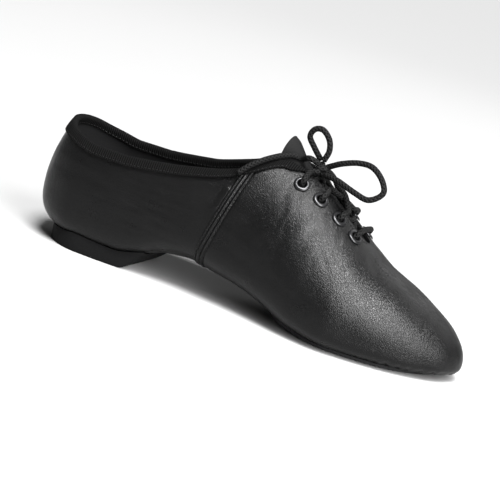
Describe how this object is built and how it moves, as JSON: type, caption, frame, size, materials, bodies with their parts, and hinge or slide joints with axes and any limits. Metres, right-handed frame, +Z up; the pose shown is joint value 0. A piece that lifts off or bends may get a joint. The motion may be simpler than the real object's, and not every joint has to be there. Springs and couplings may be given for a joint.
{
  "type": "jazz shoe",
  "caption": "Split-sole lace-up jazz shoe for the right foot: soft black leather upper, suede forefoot patch, low rubber heel pad and a round cord lace tied in a bow.",
  "frame": {"origin": "on the floor, under the middle of the shoe's box in plan, cords left out", "axes": "+X to the toe along the shoe, +Y to the inner side of the right foot, +Z up"},
  "size_m": [0.2596, 0.081, 0.1077],
  "materials": {
    "leather": "satin black fine-grain leather",
    "lining": "matte dark lining cloth",
    "ribbed_tape": "matte black ribbed tape",
    "suede": "matte black suede",
    "heel_rubber": "matte textured black rubber",
    "black_metal": "glossy black painted metal",
    "cord": "matte black braided cord"
  },
  "bodies": {
    "root": {"upper": "leather", "tongue": "leather", "back_strip": "leather", "insole": "lining", "collar_binding": "ribbed_tape", "forefoot_sole": "suede", "heel": "heel_rubber", "eyelet_outer_1": "black_metal", "eyelet_outer_2": "black_metal", "eyelet_outer_3": "black_metal", "eyelet_outer_4": "black_metal", "eyelet_inner_1": "black_metal", "eyelet_inner_2": "black_metal", "eyelet_inner_3": "black_metal", "eyelet_inner_4": "black_metal", "lace_bar": "cord", "lace_cross": "cord", "lace_knot": "cord", "lace_loop_small": "cord", "lace_loop_large": "cord", "lace_end_inner": "cord", "lace_end_outer": "cord", "lace_rise_outer": "cord", "lace_rise_inner": "cord"}
  },
  "joints": []
}
